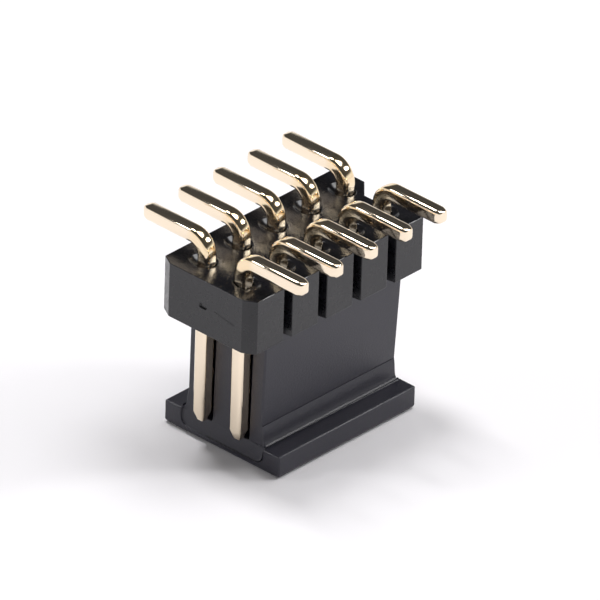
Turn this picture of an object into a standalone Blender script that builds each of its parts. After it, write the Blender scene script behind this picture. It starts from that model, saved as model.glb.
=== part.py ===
# Dual-row surface-mount pin header with its pick-and-place cap, standing on the cap.
# Ten square pins run up through a notched insulator and bend outwards into solder tails.
# X runs along the rows, the solder tails point to +Y and -Y, and Z is up.
# The origin is the centre of the cap's flat face, which is the face a placing nozzle holds.

import math

import bmesh
import bpy

MM = 0.001

# The grid of the pins
PITCH = 1.27 * MM
ROW_SPACING = 1.27 * MM
POSITIONS = 5

# Square pin wire, its point in the cap and its coined tail end
PIN_SIDE = 0.40 * MM
PIN_EDGE = 0.045 * MM
POINT_LENGTH = 0.26 * MM
POINT_SIDE = 0.22 * MM
BEND_INNER_RADIUS = 0.26 * MM
BEND_STEPS = 8
TAIL_RISE = 0.21 * MM
TAIL_REACH = 2.12 * MM
COIN_LENGTH = 0.16 * MM
COIN_WIDTH = 0.27 * MM
COIN_THICKNESS = 0.32 * MM

# Gaps between pieces that touch, and how far a cutting shape runs past the face it opens
PRESS_GAP = 0.01 * MM
SEAT_GAP = 0.01 * MM
TIP_GAP = 0.04 * MM
OVERCUT = 0.02 * MM

# Pick-and-place cap: a slotted web with a flared root, on a flat foot with a pocket in each end
CAP_SETBACK = 0.045 * MM
SLOT_WALL = 0.46 * MM
WEB_HEIGHT = 3.07 * MM
WEB_DRAFT = 0.025 * MM
WEB_END_STEP = 0.01 * MM
WEB_END_DRAFT = 0.055 * MM
WEB_EDGE = 0.03 * MM
FOOT_THICKNESS = 0.65 * MM
FOOT_LEDGE = 0.595 * MM
FOOT_CORNER = 0.05 * MM
FOOT_FILLET = 0.11 * MM
FOOT_FILLET_STEPS = 4
FOOT_EDGE = 0.04 * MM
PLINTH_FLARE = 0.115 * MM
PLINTH_HEIGHT = 0.57 * MM
POCKET_DEPTH = 0.08 * MM
POCKET_MARGIN = 0.02 * MM
POCKET_LIFT = 0.20 * MM
POCKET_CORNER = 0.25 * MM
POCKET_CORNER_STEPS = 5

# Insulator: a bar with a notch between each two positions, a chamfer down each corner
# and a relief in its far end, between the rows
SIDE_MARGIN = 0.975 * MM
END_MARGIN = 0.70 * MM
INSULATOR_HEIGHT = 1.55 * MM
INSULATOR_EDGE = 0.02 * MM
NOTCH_DEPTH = 0.40 * MM
NOTCH_MOUTH = 0.31 * MM
NOTCH_FLOOR = 0.18 * MM
CHAMFER_DEPTH = 0.35 * MM
CHAMFER_LENGTH = 0.20 * MM
RELIEF_MOUTH = 1.24 * MM
RELIEF_FLOOR = 0.30 * MM
RELIEF_DEPTH = 0.50 * MM
LEAD_IN_SIDE = 0.64 * MM
LEAD_IN_CORNER = 0.12 * MM
LEAD_IN_DEPTH = 0.12 * MM

# Sizes and heights that follow from those above
HALF_ROW = (POSITIONS - 1) * PITCH / 2
HOLE_SIDE = PIN_SIDE + 2 * PRESS_GAP
CAP_LENGTH = 2 * (HALF_ROW - CAP_SETBACK)
WEB_LENGTH = CAP_LENGTH - 2 * (POCKET_DEPTH + WEB_END_STEP)
WEB_WIDTH = ROW_SPACING + HOLE_SIDE + 2 * SLOT_WALL
WEB_BASE_WIDTH = WEB_WIDTH - 2 * WEB_DRAFT
PLINTH_WIDTH = WEB_BASE_WIDTH + 2 * PLINTH_FLARE
FOOT_WIDTH = PLINTH_WIDTH + 2 * FOOT_LEDGE
WEB_TOP = FOOT_THICKNESS + WEB_HEIGHT
INSULATOR_BOTTOM = WEB_TOP + SEAT_GAP
INSULATOR_TOP = INSULATOR_BOTTOM + INSULATOR_HEIGHT
INSULATOR_LENGTH = 2 * (HALF_ROW + END_MARGIN)
INSULATOR_WIDTH = ROW_SPACING + 2 * SIDE_MARGIN
PIN_TIP = FOOT_THICKNESS + TIP_GAP
BEND_START = INSULATOR_TOP + TAIL_RISE
BEND_RADIUS = BEND_INNER_RADIUS + PIN_SIDE / 2
TAIL_HEIGHT = BEND_START + BEND_RADIUS


def clear_scene():
    for obj in list(bpy.data.objects):
        bpy.data.objects.remove(obj, do_unlink=True)


def principled(name, colour, roughness, metallic):
    material = bpy.data.materials.new(name)
    material.use_nodes = True
    shader = material.node_tree.nodes["Principled BSDF"]
    shader.inputs["Base Color"].default_value = (*colour, 1.0)
    shader.inputs["Roughness"].default_value = roughness
    shader.inputs["Metallic"].default_value = metallic
    return material


def mesh_from(bm, name):
    bmesh.ops.recalc_face_normals(bm, faces=bm.faces)
    mesh = bpy.data.meshes.new(name)
    bm.to_mesh(mesh)
    bm.free()
    return mesh


def add_object(name, mesh, material=None):
    obj = bpy.data.objects.new(name, mesh)
    bpy.context.scene.collection.objects.link(obj)
    if material:
        mesh.materials.append(material)
    return obj


def add_loft(bm, rings):
    """Add a closed solid through rings of points, each ring with as many points as the next."""
    loops = [[bm.verts.new(point) for point in ring] for ring in rings]
    for lower, upper in zip(loops, loops[1:]):
        for i, vertex in enumerate(lower):
            j = (i + 1) % len(lower)
            bm.faces.new((vertex, lower[j], upper[j], upper[i]))
    bm.faces.new(reversed(loops[0]))
    bm.faces.new(loops[-1])


def loft(rings, name):
    bm = bmesh.new()
    add_loft(bm, rings)
    return mesh_from(bm, name)


def arc(centre_x, centre_y, radius, start, end, steps):
    """Points along an arc in a plane, its angles in degrees."""
    angles = [math.radians(start + (end - start) * i / steps) for i in range(steps + 1)]
    return [(centre_x + radius * math.cos(a), centre_y + radius * math.sin(a)) for a in angles]


def cut_corner_rectangle(width, depth, corner):
    """A rectangle with its corners cut off, centred on the origin."""
    x = width / 2
    y = depth / 2
    return [(x, y - corner), (x - corner, y), (corner - x, y), (-x, y - corner),
            (-x, corner - y), (corner - x, -y), (x - corner, -y), (x, corner - y)]


def at_height(outline, z):
    return [(x, y, z) for x, y in outline]


def add_bevel(obj, width, segments):
    bevel = obj.modifiers.new("broken edges", "BEVEL")
    bevel.width = width
    bevel.segments = segments
    bevel.limit_method = "ANGLE"
    bevel.angle_limit = math.radians(35)


def add_boolean(obj, tool, operation):
    boolean = obj.modifiers.new(tool.name, "BOOLEAN")
    boolean.operation = operation
    boolean.object = tool
    tool.hide_render = True
    tool.display_type = "WIRE"


def pin_mesh():
    """One pin, from its point in the cap, round the bend, to the coined end of its tail."""
    wire = cut_corner_rectangle(PIN_SIDE, PIN_SIDE, PIN_EDGE)
    point = cut_corner_rectangle(POINT_SIDE, POINT_SIDE, PIN_EDGE)
    coined = cut_corner_rectangle(COIN_WIDTH, COIN_THICKNESS, PIN_EDGE)
    rings = [at_height(point, PIN_TIP), at_height(wire, PIN_TIP + POINT_LENGTH)]
    for step in range(BEND_STEPS + 1):
        turn = math.radians(90 * step / BEND_STEPS)
        across = math.cos(turn)
        rise = math.sin(turn)
        rings.append([(x, (BEND_RADIUS + y) * across - BEND_RADIUS, BEND_START + (BEND_RADIUS + y) * rise)
                      for x, y in wire])
    rings.append([(x, COIN_LENGTH - TAIL_REACH, TAIL_HEIGHT + y) for x, y in wire])
    rings.append([(x, -TAIL_REACH, TAIL_HEIGHT + y) for x, y in coined])
    return loft(rings, "bent pin")


def add_pins(material):
    """Both rows share one mesh: the right row's tails point to -Y, the left row's to +Y."""
    mesh = pin_mesh()
    mesh.materials.append(material)
    for row, side in (("right", -1), ("left", 1)):
        for i in range(POSITIONS):
            pin = add_object(f"pin_{row}_{i + 1}", mesh)
            pin.location = (i * PITCH - HALF_ROW, side * ROW_SPACING / 2, 0)
            pin.rotation_euler = (0, 0, 0 if side < 0 else math.pi)


def insulator_outline():
    """The notched bar seen from above, with its corners chamfered as if they were half notches."""
    side = INSULATOR_WIDTH / 2
    floor = side - NOTCH_DEPTH
    corner = side - CHAMFER_DEPTH
    end = INSULATOR_LENGTH / 2
    long_side = [(-end, corner), (-end + CHAMFER_LENGTH, side)]
    for i in range(POSITIONS - 1):
        middle = (i + 0.5) * PITCH - HALF_ROW
        long_side += [(middle - NOTCH_MOUTH / 2, side), (middle - NOTCH_FLOOR / 2, floor)]
        long_side += [(middle + NOTCH_FLOOR / 2, floor), (middle + NOTCH_MOUTH / 2, side)]
    long_side += [(end - CHAMFER_LENGTH, side), (end, corner)]
    inner = end - RELIEF_DEPTH
    relief = [(end, RELIEF_MOUTH / 2), (inner, RELIEF_FLOOR / 2)]
    relief += [(inner, -RELIEF_FLOOR / 2), (end, -RELIEF_MOUTH / 2)]
    return long_side + relief + [(-x, -y) for x, y in long_side]


def pin_hole_cutter():
    """Square press-fit holes, each with a funnel at the top that leads the pin in."""
    slope = (LEAD_IN_SIDE - HOLE_SIDE) / LEAD_IN_DEPTH
    mouth_side = LEAD_IN_SIDE + slope * OVERCUT
    hole = cut_corner_rectangle(HOLE_SIDE, HOLE_SIDE, PIN_EDGE)
    mouth = cut_corner_rectangle(mouth_side, mouth_side, LEAD_IN_CORNER)
    bm = bmesh.new()
    for side in (-1, 1):
        for i in range(POSITIONS):
            place = (i * PITCH - HALF_ROW, side * ROW_SPACING / 2, 0)
            rings = [at_height(hole, INSULATOR_BOTTOM - OVERCUT),
                     at_height(hole, INSULATOR_TOP - LEAD_IN_DEPTH),
                     at_height(mouth, INSULATOR_TOP + OVERCUT)]
            add_loft(bm, [[(x + place[0], y + place[1], z) for x, y, z in ring] for ring in rings])
    return add_object("pin hole cutter", mesh_from(bm, "pin holes"))


def add_insulator(material):
    outline = insulator_outline()
    mesh = loft([at_height(outline, INSULATOR_BOTTOM), at_height(outline, INSULATOR_TOP)], "insulator")
    insulator = add_object("insulator", mesh, material)
    add_bevel(insulator, INSULATOR_EDGE, 1)
    add_boolean(insulator, pin_hole_cutter(), "DIFFERENCE")


def foot_plate():
    """The flat foot: its bottom edges are rounded over and its top edges only broken."""
    insets = arc(FOOT_FILLET, FOOT_FILLET, FOOT_FILLET, 270, 180, FOOT_FILLET_STEPS)
    insets += [(0, FOOT_THICKNESS - FOOT_EDGE), (FOOT_EDGE, FOOT_THICKNESS)]
    outlines = []
    for inset, z in insets:
        outline = cut_corner_rectangle(CAP_LENGTH - 2 * inset, FOOT_WIDTH - 2 * inset, FOOT_CORNER)
        outlines.append(at_height(outline, z))
    return loft(outlines, "foot")


def web():
    """The block that is pushed over the pins: flared at its root, its two ends leaning inwards."""
    plinth_top = FOOT_THICKNESS + PLINTH_HEIGHT
    plinth_length = WEB_LENGTH - 2 * WEB_END_DRAFT * PLINTH_HEIGHT / WEB_HEIGHT
    root = cut_corner_rectangle(WEB_LENGTH, PLINTH_WIDTH, WEB_EDGE)
    base = cut_corner_rectangle(plinth_length, WEB_BASE_WIDTH, WEB_EDGE)
    top = cut_corner_rectangle(WEB_LENGTH - 2 * WEB_END_DRAFT, WEB_WIDTH, WEB_EDGE)
    return loft([at_height(root, FOOT_THICKNESS / 2), at_height(root, FOOT_THICKNESS),
                 at_height(base, plinth_top), at_height(top, WEB_TOP)], "web")


def end_pocket_cutter():
    """A shallow round-cornered pocket in each end of the foot, open at the foot's top."""
    half = PLINTH_WIDTH / 2 + POCKET_MARGIN
    middle = half - POCKET_CORNER
    height = POCKET_LIFT + POCKET_CORNER
    top = FOOT_THICKNESS + OVERCUT
    outline = arc(-middle, height, POCKET_CORNER, 180, 270, POCKET_CORNER_STEPS)
    outline += arc(middle, height, POCKET_CORNER, 270, 360, POCKET_CORNER_STEPS)
    outline += [(half, top), (-half, top)]
    outer = CAP_LENGTH / 2 + OVERCUT
    inner = CAP_LENGTH / 2 - POCKET_DEPTH
    bm = bmesh.new()
    for end in (-1, 1):
        add_loft(bm, [[(end * x, y, z) for y, z in outline] for x in (inner, outer)])
    return add_object("end pocket cutter", mesh_from(bm, "end pockets"))


def pin_slot_cutter():
    """One slot for each row of pins, open at the top and at both ends of the web."""
    reach = CAP_LENGTH / 2 + OVERCUT
    half = HOLE_SIDE / 2
    bm = bmesh.new()
    for side in (-1, 1):
        y = side * ROW_SPACING / 2
        outline = [(reach, y + half), (-reach, y + half), (-reach, y - half), (reach, y - half)]
        add_loft(bm, [at_height(outline, FOOT_THICKNESS), at_height(outline, WEB_TOP + OVERCUT)])
    return add_object("pin slot cutter", mesh_from(bm, "pin slots"))


def add_cap(material):
    cap = add_object("cap", foot_plate(), material)
    add_boolean(cap, end_pocket_cutter(), "DIFFERENCE")
    add_boolean(cap, add_object("web", web()), "UNION")
    add_boolean(cap, pin_slot_cutter(), "DIFFERENCE")


def main():
    clear_scene()
    insulator_plastic = principled("Black moulded insulator", (0.020, 0.020, 0.024), 0.55, 0.0)
    cap_plastic = principled("Black moulded cap", (0.017, 0.017, 0.021), 0.60, 0.0)
    plating = principled("Pale gold flash plating", (0.86, 0.74, 0.52), 0.28, 1.0)
    add_insulator(insulator_plastic)
    add_cap(cap_plastic)
    add_pins(plating)


main()
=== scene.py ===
# A surface-mount pin header standing on its placing cap, dressed for a close studio photograph.
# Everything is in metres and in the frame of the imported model: X along the rows, Z up.

import math

import bmesh
import bpy
from mathutils import Matrix, Vector


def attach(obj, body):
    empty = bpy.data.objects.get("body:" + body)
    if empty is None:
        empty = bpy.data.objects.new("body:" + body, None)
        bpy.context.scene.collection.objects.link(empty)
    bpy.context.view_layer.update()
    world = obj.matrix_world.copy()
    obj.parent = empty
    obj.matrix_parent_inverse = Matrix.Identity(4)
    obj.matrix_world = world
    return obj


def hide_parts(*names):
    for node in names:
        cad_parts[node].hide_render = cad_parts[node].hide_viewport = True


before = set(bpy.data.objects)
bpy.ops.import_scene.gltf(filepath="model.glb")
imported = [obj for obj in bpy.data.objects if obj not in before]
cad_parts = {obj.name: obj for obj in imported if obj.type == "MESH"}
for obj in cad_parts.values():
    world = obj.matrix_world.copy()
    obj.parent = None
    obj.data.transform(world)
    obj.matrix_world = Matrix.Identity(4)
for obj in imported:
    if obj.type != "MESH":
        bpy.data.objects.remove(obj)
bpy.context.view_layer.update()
scene = bpy.context.scene
scene.view_settings.view_transform = "Standard"

# Camera: a long macro lens above the near left corner, so far away that parallel edges stay
# parallel. The frame is turned a little, and its middle lies above and to the right of the
# header's middle.
MM = 0.001
LENS = 1400.0
SENSOR = 36.0
FRAME_WIDTH = 15.158 * MM
FRAME_PIXELS = 600
PIXEL = FRAME_WIDTH / FRAME_PIXELS
AZIMUTH = math.radians(-47.593)
ELEVATION = math.radians(30.868)
TILT = math.radians(1.830)
# The frame's middle, in its own pixels from a point on the header's axis.
AIM_HEIGHT = 3.048 * MM
AIM_RIGHT = 7.86
AIM_UP = 11.84

level = math.cos(ELEVATION)
back = Vector((math.sin(AZIMUTH) * level, -math.cos(AZIMUTH) * level, math.sin(ELEVATION)))
level_right = Vector((math.cos(AZIMUTH), math.sin(AZIMUTH), 0))
level_up = back.cross(level_right)
picture_right = level_right * math.cos(TILT) + level_up * math.sin(TILT)
picture_up = level_up * math.cos(TILT) - level_right * math.sin(TILT)
aim = Vector((0, 0, AIM_HEIGHT)) + picture_right * AIM_RIGHT * PIXEL + picture_up * AIM_UP * PIXEL
bpy.ops.object.camera_add()
camera = bpy.context.object
camera.data.lens = LENS
camera.data.sensor_width = SENSOR
camera.data.clip_start = 0.01
camera.data.clip_end = 10
camera.matrix_world = Matrix((picture_right, picture_up, back)).transposed().to_4x4()
camera.location = aim + back * FRAME_WIDTH * LENS / SENSOR
scene.camera = camera

# Table: a sheet of white paper on a flat surface, which keeps the header's soft lilac shadow.
# It is only a stage, and nothing of the header is part of it.


def colour(code):
    """Turn an sRGB hex value into the linear colour that a shader wants."""
    channels = [int(code[i:i + 2], 16) / 255 for i in (1, 3, 5)]
    linear = [c / 12.92 if c <= 0.04045 else ((c + 0.055) / 1.055) ** 2.4 for c in channels]
    return (*linear, 1)


def new_material(name):
    """Start a material, and give it together with its node tree and its shader."""
    material = bpy.data.materials.new(name)
    material.use_nodes = True
    return material, material.node_tree, material.node_tree.nodes["Principled BSDF"]


def add_node(tree, kind, settings=None, links=None):
    """Add a node, set its options or input values, and link its inputs to nodes' outputs."""
    node = tree.nodes.new(kind)
    for key, value in (settings or {}).items():
        if isinstance(key, int) or key in node.inputs:
            node.inputs[key].default_value = value
        else:
            setattr(node, key, value)
    for key, output in (links or {}).items():
        tree.links.new(output, node.inputs[key])
    return node


TABLE_SIDE = 3
PAPER_WHITE = "#F8F6F9"

paper, tree, shader = new_material("White matt paper")
shader.inputs["Base Color"].default_value = colour(PAPER_WHITE)
shader.inputs["Roughness"].default_value = 0.6
shader.inputs["Specular IOR Level"].default_value = 0.2

bpy.ops.object.select_all(action="DESELECT")
bpy.ops.mesh.primitive_plane_add(size=TABLE_SIDE)
table = bpy.context.object
table.name = "table"
table.data.materials.append(paper)

# Lamps: two soft lamps high behind the header, one on each side, so that its shadows fall
# forwards. Two weaker ones low at the sides line its rounded edges, and the tops of the tails
# mirror the dark room above.
LAMP_DISTANCE = 0.6
# Each lamp's name, its direction along the table, its angle above the table in degrees, its
# width in metres and its power in watts.
LAMPS = (("right lamp", (0.948, -0.312), 68, 0.34, 1.70),
         ("left lamp", (0.151, 0.991), 68, 0.16, 1.65),
         ("right edge lamp", (0.634, -0.513), 35, 0.12, 0.80),
         ("left edge lamp", (-0.513, 0.579), 39, 0.10, 0.40))
# The paper backdrop fades into the dark room between these two directions: 0 is level, and 1 is
# straight up.
PAPER_END = 0.18
ROOM_START = 0.34
PAPER_LIGHT = 1.0
ROOM_LIGHT = 0.06

for name, towards, rise, size, power in LAMPS:
    bpy.ops.object.light_add(type="AREA")
    lamp = bpy.context.object
    lamp.name = name
    lamp.data.shape = "DISK"
    lamp.data.size = size
    lamp.data.energy = power
    flat = Vector((*towards, 0)).normalized() * math.cos(math.radians(rise))
    direction = flat + Vector((0, 0, math.sin(math.radians(rise))))
    lamp.location = direction * LAMP_DISTANCE
    lamp.rotation_euler = direction.to_track_quat("Z", "Y").to_euler()
    lamp.visible_camera = False

world = bpy.data.worlds.new("Paper backdrop under a dark room")
world.use_nodes = True
scene.world = world
tree = world.node_tree
coordinates = add_node(tree, "ShaderNodeTexCoord")
height = add_node(tree, "ShaderNodeSeparateXYZ", links={0: coordinates.outputs["Generated"]})
backdrop = add_node(tree, "ShaderNodeMapRange",
                    {"From Min": PAPER_END, "From Max": ROOM_START,
                     "To Min": PAPER_LIGHT, "To Max": ROOM_LIGHT,
                     "interpolation_type": "SMOOTHSTEP"},
                    {"Value": height.outputs["Z"]})
# The camera sees only paper behind the table.
rays = add_node(tree, "ShaderNodeLightPath")
seen = add_node(tree, "ShaderNodeMath", {"operation": "MAXIMUM"},
                {0: backdrop.outputs["Result"], 1: rays.outputs["Is Camera Ray"]})
tree.links.new(seen.outputs[0], tree.nodes["Background"].inputs["Color"])

# Cap: moulded in black heat-proof nylon and pushed over the pins, so that a nozzle can hold the
# header. Its foot is a flat plate, and its web has a slot for each row and a flared root that
# runs down the foot's ends.


def box(name, low, high):
    """Add a box between two corners, its size and place kept in its mesh."""
    low = Vector(low)
    high = Vector(high)
    bpy.ops.object.select_all(action="DESELECT")
    bpy.ops.mesh.primitive_cube_add(size=1, location=(low + high) / 2)
    piece = bpy.context.object
    piece.name = name
    piece.scale = high - low
    bpy.ops.object.transform_apply(location=True, rotation=True, scale=True)
    return piece


def select(kind, test):
    """In edit mode, select the vertices, edges or faces whose middle passes the test."""
    bpy.ops.mesh.select_mode(type=kind)
    bpy.ops.mesh.select_all(action="DESELECT")
    mesh = bpy.context.object.data
    shape = bmesh.from_edit_mesh(mesh)
    for part in {"VERT": shape.verts, "EDGE": shape.edges, "FACE": shape.faces}[kind]:
        corners = [part] if kind == "VERT" else part.verts
        middle = sum((corner.co for corner in corners), Vector()) / len(corners)
        part.select_set(test(middle))
    bmesh.update_edit_mesh(mesh)


# Places nearer to each other than this are the same.
SAME = 0.002 * MM


def near(a, b):
    """Say whether two places along an axis are the same."""
    return abs(a - b) < SAME


def spread(height, near_end, far_end, width):
    """In edit mode, give the ring of vertices at one height its own two ends and width."""
    select("VERT", lambda m: near(m.z, height))
    mesh = bmesh.from_edit_mesh(bpy.context.object.data)
    ring = [vertex.co for vertex in mesh.verts if vertex.select]
    half_length = max(point.x for point in ring)
    half_width = max(point.y for point in ring)
    longer = (far_end - near_end) / 2 / half_length
    wider = width / 2 / half_width
    bpy.ops.transform.resize(value=(longer, wider, 1), center_override=(0, 0, 0))
    bpy.ops.transform.translate(value=((far_end + near_end) / 2, 0, 0))


def combine(piece, tool, operation):
    """Join a tool to a piece, or cut it out, and remove the tool."""
    joint = piece.modifiers.new(tool.name, "BOOLEAN")
    joint.operation = operation
    joint.object = tool
    bpy.context.view_layer.objects.active = piece
    bpy.ops.object.modifier_apply(modifier=joint.name)
    bpy.data.objects.remove(tool)


def pick(piece):
    """Select one piece alone."""
    bpy.ops.object.select_all(action="DESELECT")
    piece.select_set(True)
    bpy.context.view_layer.objects.active = piece


def round_edges(piece, width, angle):
    """Round the edges sharper than an angle."""
    bevel = piece.modifiers.new("rounded edges", "BEVEL")
    bevel.width = width
    bevel.segments = 3
    bevel.limit_method = "ANGLE"
    bevel.angle_limit = math.radians(angle)
    bevel.use_clamp_overlap = False
    bevel.miter_outer = "MITER_ARC"
    pick(piece)
    bpy.ops.object.modifier_apply(modifier=bevel.name)


def smooth(piece, angle):
    """Shade a piece smooth up to an angle, its large flat faces flat right up to their edges."""
    pick(piece)
    bpy.ops.object.shade_smooth_by_angle(angle=math.radians(angle))
    weighted = piece.modifiers.new("flat faces", "WEIGHTED_NORMAL")
    weighted.keep_sharp = True
    weighted.thresh = 0
    bpy.ops.object.modifier_apply(modifier=weighted.name)


ROW = 1.27 * MM
FOOT_LENGTH = 4.99 * MM
FOOT_WIDTH = 3.98 * MM
FOOT_TOP = 0.65 * MM
FOOT_FILLET = 0.11 * MM
POCKET_FLOOR = 2.408 * MM
POCKET_HALF = 1.415 * MM
POCKET_LOW = 0.20 * MM
POCKET_HIGH = 1.00 * MM
POCKET_CORNER = 0.25 * MM
POCKET_DRAFT = math.radians(10.5)
# The web's width at each height, both in millimetres: below a crease its root leans out, and a
# small fillet ends it on the foot.
WEB_RINGS = ((3.72, 2.61), (1.22, 2.560), (1.16, 2.586), (1.10, 2.612), (1.04, 2.634),
             (0.98, 2.652), (0.92, 2.666), (0.86, 2.680), (0.80, 2.700), (0.76, 2.722),
             (0.725, 2.752), (0.698, 2.786), (0.678, 2.824), (0.664, 2.868), (0.655, 2.920),
             (0.30, 2.79))
WEB_LOW = WEB_RINGS[-1][0] * MM
WEB_TOP = WEB_RINGS[0][0] * MM
# The web's near end and the floor of the near pocket are one face.
WEB_END = POCKET_FLOOR
WEB_END_SLOPE = 0.018
# Half the length and width of the plain block that the rings are shaped from.
BLOCK = (2.3 * MM, 1.2 * MM)
# The cap's far end stands further out than its near end, the web's more so towards its top.
FOOT_STRETCH = 0.06 * MM
WEB_STRETCH = 0.07 * MM
WEB_LEAN = 0.055
SLOT = 0.42 * MM
CREASE_HEIGHT = 1.215 * MM
CREASE_WIDTH = 2.560 * MM
CREASE_DEPTH = 0.012 * MM
CAP_EDGE = 0.045 * MM
CAP_SHARP = 24
# Edges that turn less than this are shaded smooth, as in the web's root, its fillet and the
# hollows. All others stay sharp.
FLAT_ANGLE = 14
# The tools that cut the cap and the insulator reach this far along, across and past them.
REACH_ALONG = 3 * MM
REACH_ACROSS = 2 * MM
REACH_PAST = 1 * MM

cap = box("cap", (-FOOT_LENGTH / 2, -FOOT_WIDTH / 2, 0),
          (FOOT_LENGTH / 2 + FOOT_STRETCH, FOOT_WIDTH / 2, FOOT_TOP))
bpy.ops.object.mode_set(mode="EDIT")
select("FACE", lambda m: near(m.z, 0))
bpy.ops.mesh.bevel(offset=FOOT_FILLET, segments=5)
bpy.ops.object.mode_set(mode="OBJECT")
for end in (-1, 1):
    floor = -POCKET_FLOOR if end < 0 else POCKET_FLOOR + FOOT_STRETCH
    reach = end * REACH_ALONG
    pocket = box("pocket", (min(floor, reach), -POCKET_HALF, POCKET_LOW),
                 (max(floor, reach), POCKET_HALF, POCKET_HIGH))
    bpy.ops.object.mode_set(mode="EDIT")
    select("EDGE", lambda m: near(m.z, POCKET_LOW) and near(abs(m.y), POCKET_HALF))
    bpy.ops.mesh.bevel(offset=POCKET_CORNER, segments=8)
    bpy.ops.mesh.select_all(action="SELECT")
    bpy.ops.transform.rotate(value=end * POCKET_DRAFT, orient_axis="Y",
                             center_override=(floor, 0, FOOT_TOP))
    bpy.ops.object.mode_set(mode="OBJECT")
    combine(cap, pocket, "DIFFERENCE")

web = box("web", (-BLOCK[0], -BLOCK[1], WEB_LOW), (BLOCK[0], BLOCK[1], WEB_TOP))
bpy.ops.object.mode_set(mode="EDIT")
for height, _ in WEB_RINGS[1:-1]:
    bpy.ops.mesh.select_all(action="SELECT")
    bpy.ops.mesh.bisect(plane_co=(0, 0, height * MM), plane_no=(0, 0, 1), threshold=0.001 * MM)
for height, width in WEB_RINGS:
    rise = height * MM - FOOT_TOP
    spread(height * MM, WEB_END_SLOPE * rise - WEB_END,
           WEB_END + WEB_STRETCH + WEB_LEAN * max(rise, 0), width * MM)
bpy.ops.object.mode_set(mode="OBJECT")
combine(cap, web, "UNION")
for side in (-1, 1):
    y = side * ROW / 2
    slot = box("slot", (-REACH_ALONG, y - SLOT / 2, FOOT_TOP),
               (REACH_ALONG, y + SLOT / 2, WEB_TOP + REACH_PAST))
    combine(cap, slot, "DIFFERENCE")
round_edges(cap, CAP_EDGE, CAP_SHARP)
# A fine witness line of the mould runs along each side where the root starts.
for side in (-1, 1):
    face = side * (CREASE_WIDTH / 2 - CREASE_DEPTH)
    reach = side * REACH_ACROSS
    crease = box("crease", (-REACH_ALONG, min(face, reach), CREASE_HEIGHT - CREASE_DEPTH),
                 (REACH_ALONG, max(face, reach), CREASE_HEIGHT + CREASE_DEPTH))
    combine(cap, crease, "DIFFERENCE")
smooth(cap, FLAT_ANGLE)

NYLON_BLACK = "#201F2B"
# The steel's pits are about 0.05 mm wide and leave the plastic finely pebbled.
NYLON_GRAIN = 0.05 * MM
NYLON_GRAIN_DEPTH = 0.007 * MM

nylon, tree, shader = new_material("Black heat-proof nylon, moulded against a spark-eroded steel")
shader.inputs["Roughness"].default_value = 0.34
shader.inputs["IOR"].default_value = 1.53
shader.inputs["Base Color"].default_value = colour(NYLON_BLACK)
coordinates = add_node(tree, "ShaderNodeTexCoord")
grain = add_node(tree, "ShaderNodeTexNoise",
                 {"Scale": 1 / NYLON_GRAIN, "Detail": 3.0, "Roughness": 0.6},
                 {"Vector": coordinates.outputs["Object"]})
bump = add_node(tree, "ShaderNodeBump", {"Strength": 1.0, "Distance": NYLON_GRAIN_DEPTH},
                {"Height": grain.outputs["Fac"]})
tree.links.new(bump.outputs["Normal"], shader.inputs["Normal"])
cap.data.materials.append(nylon)
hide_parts("cap")
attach(cap, "root")

# Insulator: a bar moulded in black liquid-crystal polymer, with a V notch between each two
# positions. The pins are pressed up through it, and a hollow under each tail leaves room for
# the bend.


def prism(name, outline, low, high):
    """Add an upright prism over a flat outline of points."""
    bpy.ops.object.select_all(action="DESELECT")
    bpy.ops.mesh.primitive_circle_add(vertices=len(outline), fill_type="NGON",
                                      location=(0, 0, low))
    piece = bpy.context.object
    piece.name = name
    bpy.ops.object.transform_apply(location=True, rotation=True, scale=True)
    for vertex, (x, y) in zip(piece.data.vertices, outline):
        vertex.co = (x, y, low)
    bpy.ops.object.mode_set(mode="EDIT")
    bpy.ops.mesh.select_all(action="SELECT")
    bpy.ops.mesh.extrude_region_move(TRANSFORM_OT_translate={"value": (0, 0, high - low)})
    bpy.ops.mesh.select_all(action="SELECT")
    bpy.ops.mesh.normals_make_consistent(inside=False)
    bpy.ops.object.mode_set(mode="OBJECT")
    return piece


POSITIONS = 5
PITCH = 1.27 * MM
BAR_LENGTH = 6.48 * MM
BAR_WIDTH = 3.22 * MM
BAR_LOW = 3.73 * MM
BAR_TOP = 5.28 * MM
NOTCH_DEPTH = 0.40 * MM
NOTCH_MOUTH = 0.31 * MM
NOTCH_FLOOR = 0.18 * MM
# The relief is the wide V between the rows at the far end.
RELIEF_DEPTH = 0.50 * MM
RELIEF_MOUTH = 1.24 * MM
RELIEF_FLOOR = 0.30 * MM
# The tools of the notches and the relief start this far outside the bar.
START = 0.1 * MM
CHAMFER_DEPTH = 0.35 * MM
CHAMFER_LENGTH = 0.20 * MM
# A chamfer's tool runs on past the bar's faces by this share of the chamfer.
RUN_ON = 0.5
HOLE = 0.42 * MM
HOLLOW_RADII = (0.40 * MM, 0.50 * MM, 0.30 * MM)
HOLLOW_SHIFT = 0.10 * MM
HOLLOW_DEPTH = 0.13 * MM
BAR_EDGE = 0.02 * MM
BAR_SHARP = 35
TOOL_LOW = BAR_LOW - REACH_PAST
TOOL_HIGH = BAR_TOP + REACH_PAST

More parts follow.
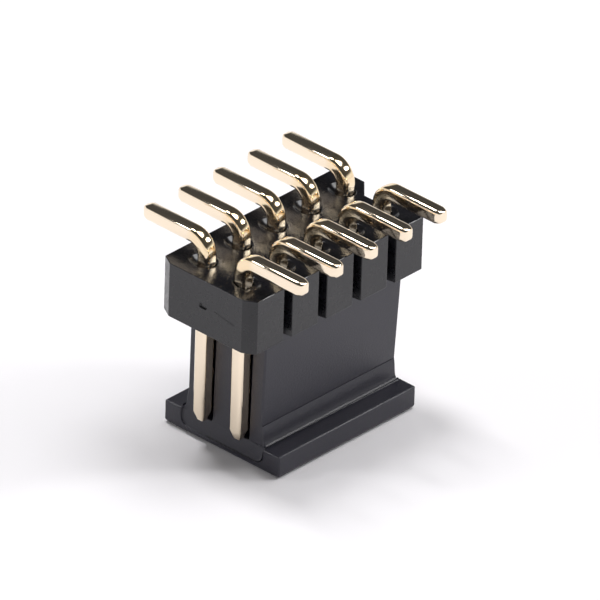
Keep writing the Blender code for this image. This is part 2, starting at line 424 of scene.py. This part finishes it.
end_x = BAR_LENGTH / 2
side_y = BAR_WIDTH / 2
insulator = box("insulator", (-end_x, -side_y, BAR_LOW), (end_x, side_y, BAR_TOP))
notch_slope = (NOTCH_MOUTH - NOTCH_FLOOR) / 2 / NOTCH_DEPTH
mouth = NOTCH_MOUTH / 2 + notch_slope * START
for i in range(POSITIONS - 1):
    middle = (i - (POSITIONS - 2) / 2) * PITCH
    for side in (-1, 1):
        outer = side * (side_y + START)
        floor = side * (side_y - NOTCH_DEPTH)
        notch = prism("notch",
                      [(middle - mouth, outer), (middle - NOTCH_FLOOR / 2, floor),
                       (middle + NOTCH_FLOOR / 2, floor), (middle + mouth, outer)],
                      TOOL_LOW, TOOL_HIGH)
        combine(insulator, notch, "DIFFERENCE")
for end in (-1, 1):
    for side in (-1, 1):
        chamfer = prism("chamfer",
                        [(end * (end_x - CHAMFER_LENGTH * (1 + RUN_ON)),
                          side * (side_y + CHAMFER_DEPTH * RUN_ON)),
                         (end * (end_x + CHAMFER_LENGTH * RUN_ON),
                          side * (side_y - CHAMFER_DEPTH * (1 + RUN_ON))),
                         (end * (end_x + REACH_PAST), side * (side_y + REACH_PAST))],
                        TOOL_LOW, TOOL_HIGH)
        combine(insulator, chamfer, "DIFFERENCE")
relief_slope = (RELIEF_MOUTH - RELIEF_FLOOR) / 2 / RELIEF_DEPTH
mouth = RELIEF_MOUTH / 2 + relief_slope * START
outer = end_x + START
floor = end_x - RELIEF_DEPTH
relief = prism("relief",
               [(outer, mouth), (floor, RELIEF_FLOOR / 2),
                (floor, -RELIEF_FLOOR / 2), (outer, -mouth)],
               TOOL_LOW, TOOL_HIGH)
combine(insulator, relief, "DIFFERENCE")
for i in range(POSITIONS):
    x = (i - (POSITIONS - 1) / 2) * PITCH
    for side in (-1, 1):
        y = side * ROW / 2
        hole = box("hole", (x - HOLE / 2, y - HOLE / 2, TOOL_LOW),
                   (x + HOLE / 2, y + HOLE / 2, TOOL_HIGH))
        combine(insulator, hole, "DIFFERENCE")
        bpy.ops.object.select_all(action="DESELECT")
        bpy.ops.mesh.primitive_uv_sphere_add(
            segments=32, ring_count=16, radius=1,
            location=(x, y + side * HOLLOW_SHIFT, BAR_TOP - HOLLOW_DEPTH + HOLLOW_RADII[2]))
        hollow = bpy.context.object
        hollow.name = "hollow"
        hollow.scale = HOLLOW_RADII
        bpy.ops.object.transform_apply(location=True, rotation=True, scale=True)
        combine(insulator, hollow, "DIFFERENCE")
round_edges(insulator, BAR_EDGE, BAR_SHARP)

# The near end carries a moulding pit, and a scratch that runs from it towards the corner. The
# pit narrows towards its floor, round a point a little above its middle.
MARK_START = 0.05 * MM
PIT_MIDDLE = (0.085 * MM, 4.51 * MM)
PIT_WIDTH = 0.35 * MM
PIT_HEIGHT = 0.18 * MM
PIT_DEPTH = 0.045 * MM
PIT_CORNER = 0.08 * MM
PIT_TAPER = 0.6
PIT_TAPER_CENTRE = (0, 0.085 * MM, 4.55 * MM)
SCRATCH_MIDDLE = (-0.65 * MM, 4.48 * MM)
SCRATCH_LENGTH = 0.70 * MM
SCRATCH_WIDTH = 0.02 * MM
SCRATCH_DEPTH = 0.006 * MM
SCRATCH_TURN = math.radians(-9.7)

y, z = PIT_MIDDLE
pit = box("pit", (-end_x - MARK_START, y - PIT_WIDTH / 2, z - PIT_HEIGHT / 2),
          (PIT_DEPTH - end_x, y + PIT_WIDTH / 2, z + PIT_HEIGHT / 2))
bpy.ops.object.mode_set(mode="EDIT")
select("EDGE", lambda m: near(abs(m.y - y), PIT_WIDTH / 2) and near(abs(m.z - z), PIT_HEIGHT / 2))
bpy.ops.mesh.bevel(offset=PIT_CORNER, segments=5)
select("VERT", lambda m: m.x > -end_x)
bpy.ops.transform.resize(value=(1, PIT_TAPER, PIT_TAPER),
                         center_override=PIT_TAPER_CENTRE)
bpy.ops.object.mode_set(mode="OBJECT")
combine(insulator, pit, "DIFFERENCE")
y, z = SCRATCH_MIDDLE
scratch = box("scratch",
              (-end_x - MARK_START, y - SCRATCH_LENGTH / 2, z - SCRATCH_WIDTH / 2),
              (SCRATCH_DEPTH - end_x, y + SCRATCH_LENGTH / 2, z + SCRATCH_WIDTH / 2))
bpy.ops.object.mode_set(mode="EDIT")
bpy.ops.mesh.select_all(action="SELECT")
bpy.ops.transform.rotate(value=SCRATCH_TURN, orient_axis="X", center_override=(0, y, z))
bpy.ops.object.mode_set(mode="OBJECT")
combine(insulator, scratch, "DIFFERENCE")
smooth(insulator, FLAT_ANGLE)

POLYMER_BLACK = "#0E0E13"
# Where the melt cooled unevenly, patches about 0.3 mm wide are glossier than the rest.
PATCH = 0.3 * MM
PATCH_GLOSSY = 0.24
PATCH_DULL = 0.33
# The top was moulded against a polished plate, and keeps two thirds of the sides' roughness.
POLISH_LOW = 5.0 * MM
POLISH_HIGH = 5.25 * MM
POLISH_SHARE = 0.67
POLYMER_GRAIN = 0.07 * MM
POLYMER_GRAIN_DEPTH = 0.003 * MM

polymer, tree, shader = new_material("Black liquid-crystal polymer, moulded")
shader.inputs["IOR"].default_value = 1.54
shader.inputs["Base Color"].default_value = colour(POLYMER_BLACK)
coordinates = add_node(tree, "ShaderNodeTexCoord")
patches = add_node(tree, "ShaderNodeTexNoise", {"Scale": 1 / PATCH, "Detail": 2.0},
                   {"Vector": coordinates.outputs["Object"]})
gloss = add_node(tree, "ShaderNodeMapRange",
                 {"From Min": 0.35, "From Max": 0.65,
                  "To Min": PATCH_GLOSSY, "To Max": PATCH_DULL},
                 {"Value": patches.outputs["Fac"]})
axes = add_node(tree, "ShaderNodeSeparateXYZ", links={0: coordinates.outputs["Object"]})
polish = add_node(tree, "ShaderNodeMapRange",
                  {"From Min": POLISH_LOW, "From Max": POLISH_HIGH,
                   "To Min": 1.0, "To Max": POLISH_SHARE},
                  {"Value": axes.outputs["Z"]})
roughness = add_node(tree, "ShaderNodeMath", {"operation": "MULTIPLY"},
                     {0: gloss.outputs["Result"], 1: polish.outputs["Result"]})
tree.links.new(roughness.outputs[0], shader.inputs["Roughness"])
grain = add_node(tree, "ShaderNodeTexNoise",
                 {"Scale": 1 / POLYMER_GRAIN, "Detail": 3.0, "Roughness": 0.6},
                 {"Vector": coordinates.outputs["Object"]})
bump = add_node(tree, "ShaderNodeBump", {"Strength": 1.0, "Distance": POLYMER_GRAIN_DEPTH},
                {"Height": grain.outputs["Fac"]})
tree.links.new(bump.outputs["Normal"], shader.inputs["Normal"])
insulator.data.materials.append(polymer)
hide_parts("insulator")
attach(insulator, "root")

# Pins: square copper-alloy wire, drawn, pointed, bent outwards and coined at the tail, then
# flash plated. Gold over nickel leaves them a pale champagne colour that mirrors the paper, and
# dark where it mirrors the room.
PIN = 0.40 * MM
PIN_ROUND = 0.10 * MM
PIN_LOW = 0.69 * MM
POINT = 0.26 * MM
POINT_SIDE = 0.22 * MM
BEND_START = 5.49 * MM
BEND_RADIUS = 0.46 * MM
TAIL_REACH = 2.12 * MM
TAIL_EDGE = 0.05 * MM
COIN = 0.16 * MM
COIN_WIDTH = 0.27 * MM
COIN_THICKNESS = 0.32 * MM
PIN_SMOOTH_ANGLE = 40

bpy.ops.object.select_all(action="DESELECT")
bpy.ops.mesh.primitive_plane_add(size=PIN, location=(0, 0, PIN_LOW))
pin = bpy.context.object
pin.name = "pin"
bpy.ops.object.transform_apply(location=True, rotation=True, scale=True)
bpy.ops.object.mode_set(mode="EDIT")
bpy.ops.mesh.select_all(action="SELECT")
bpy.ops.mesh.bevel(offset=PIN_ROUND, segments=4, affect="VERTICES")
bpy.ops.mesh.select_all(action="SELECT")
for length in (POINT, BEND_START - PIN_LOW - POINT):
    bpy.ops.mesh.extrude_region_move(TRANSFORM_OT_translate={"value": (0, 0, length)})
bpy.ops.mesh.spin(steps=16, angle=math.radians(-90), center=(0, -BEND_RADIUS, BEND_START),
                  axis=(1, 0, 0))
select("FACE", lambda m: near(m.y, -BEND_RADIUS))
for length in (TAIL_REACH - BEND_RADIUS - COIN, COIN):
    bpy.ops.mesh.extrude_region_move(TRANSFORM_OT_translate={"value": (0, -length, 0)})
bpy.ops.transform.resize(value=(COIN_WIDTH / PIN, 1, COIN_THICKNESS / PIN),
                         center_override=(0, -TAIL_REACH, BEND_START + BEND_RADIUS))
bpy.ops.mesh.bevel(offset=TAIL_EDGE, segments=3)
select("FACE", lambda m: near(m.z, PIN_LOW))
bpy.ops.transform.resize(value=(POINT_SIDE / PIN, POINT_SIDE / PIN, 1),
                         center_override=(0, 0, PIN_LOW))
bpy.ops.mesh.select_all(action="SELECT")
bpy.ops.mesh.normals_make_consistent(inside=False)
bpy.ops.object.mode_set(mode="OBJECT")
smooth(pin, PIN_SMOOTH_ANGLE)

# The bends are painted a deeper yellow. This is a painted reflection that stands in for the
# golden glints the gold casts on itself inside each bend. The tint fades out between the two
# distances from the middle of the header, and below the bend between the two heights.
GOLD_PLAIN = "#F8E8D0"
GOLD_PAINTED_GLINT = "#F6E0BC"
GLINT_FULL_OUT = 0.95 * MM
GLINT_FADE_OUT = 1.20 * MM
GLINT_NONE_HEIGHT = 5.30 * MM
GLINT_FULL_HEIGHT = 5.60 * MM
# Drawing and plating leave the flats very slightly uneven, with swells about 0.3 mm long.
SWELL = 0.3 * MM
SWELL_DEPTH = 0.0025 * MM

gold, tree, shader = new_material("Flash gold over nickel, drawn wire")
shader.inputs["Metallic"].default_value = 1.0
shader.inputs["Roughness"].default_value = 0.10
coordinates = add_node(tree, "ShaderNodeTexCoord")
axes = add_node(tree, "ShaderNodeSeparateXYZ", links={0: coordinates.outputs["Object"]})
outwards = add_node(tree, "ShaderNodeMath", {"operation": "ABSOLUTE"}, {0: axes.outputs["Y"]})
beside = add_node(tree, "ShaderNodeMapRange",
                  {"From Min": GLINT_FULL_OUT, "From Max": GLINT_FADE_OUT, "To Min": 1.0, "To Max": 0.0},
                  {"Value": outwards.outputs[0]})
above = add_node(tree, "ShaderNodeMapRange",
                 {"From Min": GLINT_NONE_HEIGHT, "From Max": GLINT_FULL_HEIGHT},
                 {"Value": axes.outputs["Z"]})
bend = add_node(tree, "ShaderNodeMath", {"operation": "MULTIPLY"},
                {0: beside.outputs["Result"], 1: above.outputs["Result"]})
# Mix the painted glint colour into the bends over the plain gold.
painted_glint = add_node(tree, "ShaderNodeMix",
                   {"data_type": "RGBA", 6: colour(GOLD_PLAIN), 7: colour(GOLD_PAINTED_GLINT)},
                   {0: bend.outputs[0]})
tree.links.new(painted_glint.outputs[2], shader.inputs["Base Color"])
swell = add_node(tree, "ShaderNodeTexNoise", {"Scale": 1 / SWELL, "Detail": 2.0},
                 {"Vector": coordinates.outputs["Object"]})
bump = add_node(tree, "ShaderNodeBump", {"Strength": 1.0, "Distance": SWELL_DEPTH},
                {"Height": swell.outputs["Fac"]})
tree.links.new(bump.outputs["Normal"], shader.inputs["Normal"])
pin.data.materials.append(gold)

for row, side in (("right", -1), ("left", 1)):
    for i in range(POSITIONS):
        piece = pin.copy()
        piece.data = pin.data.copy()
        piece.name = f"bent_pin_{row}_{i + 1}"
        scene.collection.objects.link(piece)
        piece.location = ((i - (POSITIONS - 1) / 2) * PITCH, side * ROW / 2, 0)
        piece.rotation_euler = (0, 0, 0 if side < 0 else math.pi)
        pick(piece)
        bpy.ops.object.transform_apply(location=True, rotation=True, scale=True)
        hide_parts(f"pin_{row}_{i + 1}")
        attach(piece, "root")
bpy.data.objects.remove(pin)
